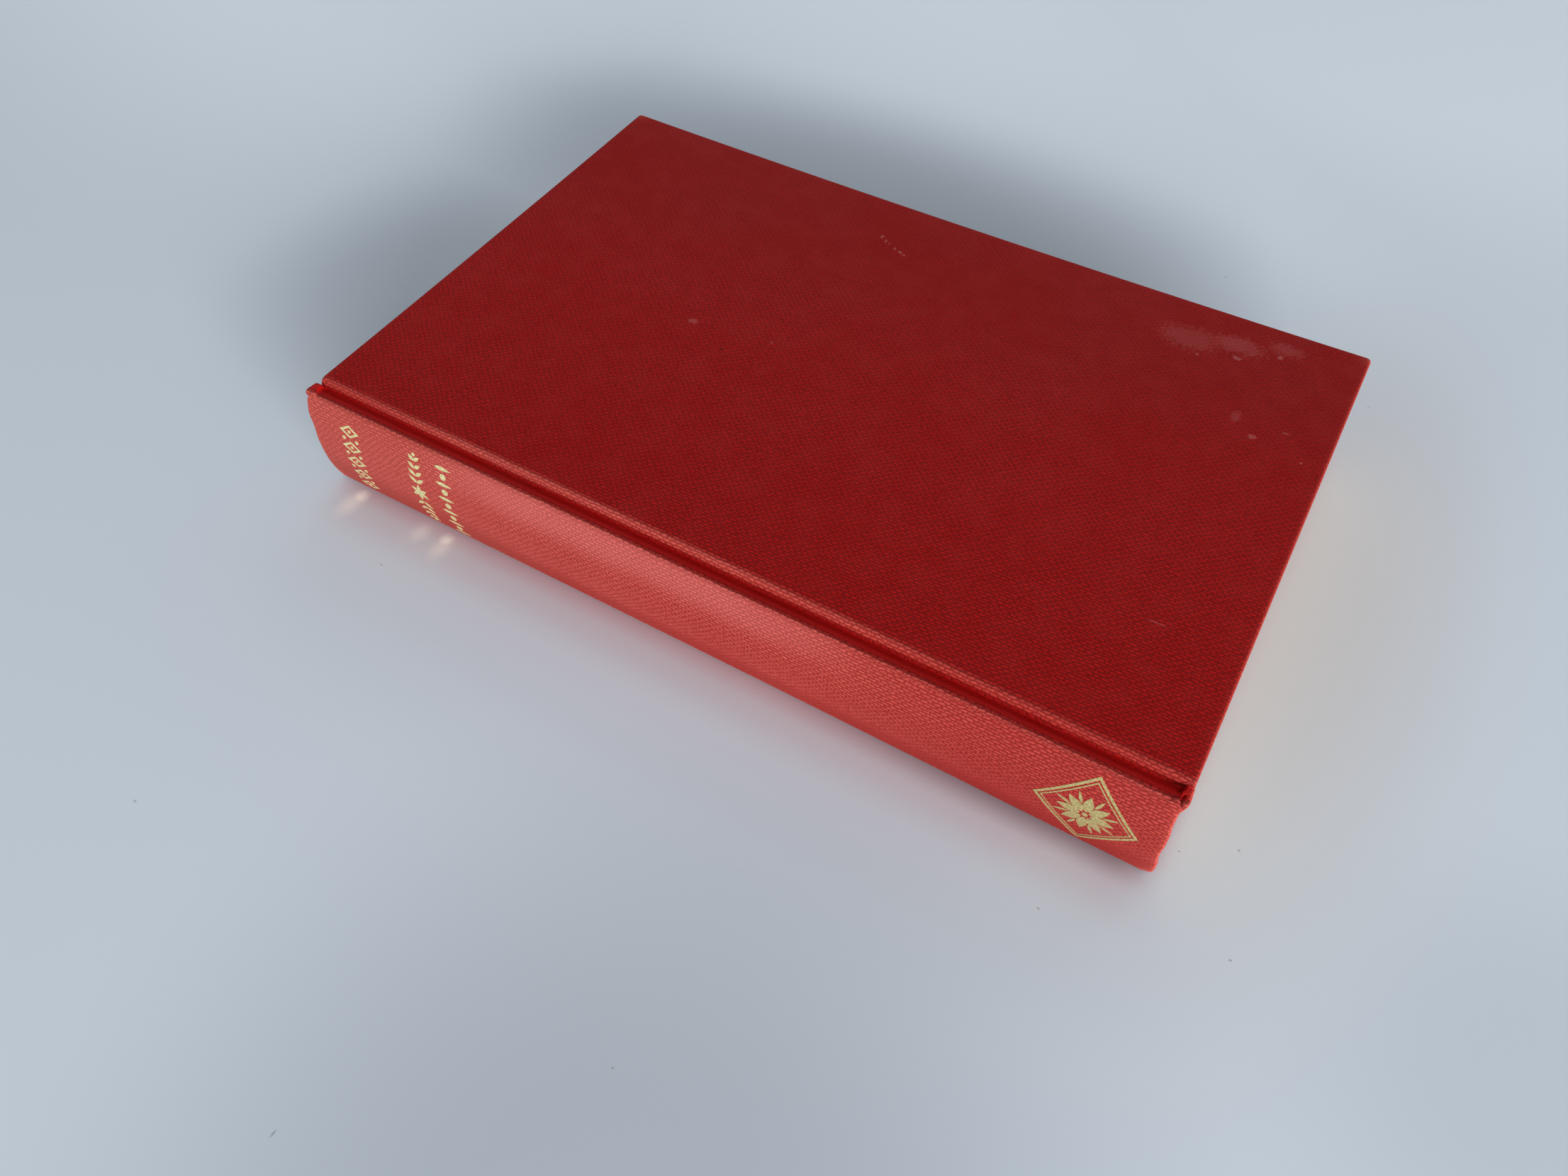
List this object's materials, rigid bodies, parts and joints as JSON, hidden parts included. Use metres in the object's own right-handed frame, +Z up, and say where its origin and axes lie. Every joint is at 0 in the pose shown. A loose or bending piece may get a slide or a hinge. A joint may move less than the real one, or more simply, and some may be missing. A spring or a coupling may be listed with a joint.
{
  "type": "hardback book",
  "caption": "Case-bound book lying on its back cover, with a rounded spine, French-groove joints, cloth-covered boards and two covers that open flat.",
  "frame": {"origin": "under the middle of the closed book, on the surface it lies on", "axes": "+X along the spine from head to tail, +Y from the spine to the fore edge, +Z up through the front cover"},
  "size_m": [0.204, 0.1342, 0.028],
  "materials": {
    "page_paper": "uncoated cream paper, cut edges",
    "end_paper": "uncoated endpaper",
    "lining_gauze": "gauze and paper lining",
    "head_band": "woven cotton band",
    "spine_card": "manila card",
    "red_cloth": "linen-grain book cloth, worn",
    "board": "grey binder's board"
  },
  "bodies": {
    "book_block": {"text_block": "page_paper", "front_flyleaf": "end_paper", "back_flyleaf": "end_paper", "spine_lining": "lining_gauze", "head_band": "head_band", "tail_band": "head_band", "spine_card": "spine_card", "spine_cloth": "red_cloth"},
    "front_cover": {"front_board": "board", "front_lining_flap": "lining_gauze", "front_cloth": "red_cloth", "front_pastedown": "end_paper"},
    "back_cover": {"back_board": "board", "back_lining_flap": "lining_gauze", "back_cloth": "red_cloth", "back_pastedown": "end_paper"}
  },
  "joints": [
    {"name": "front_cover_hinge", "type": "hinge", "parent": "book_block", "child": "front_cover", "pos_m": [0, -0.06275, 0.02703], "axis": [1, 0, 0], "range_deg": [0, 180]},
    {"name": "back_cover_hinge", "type": "hinge", "parent": "book_block", "child": "back_cover", "pos_m": [0, -0.06275, 0.00097], "axis": [1, 0, 0], "range_deg": [-180, 0]}
  ]
}
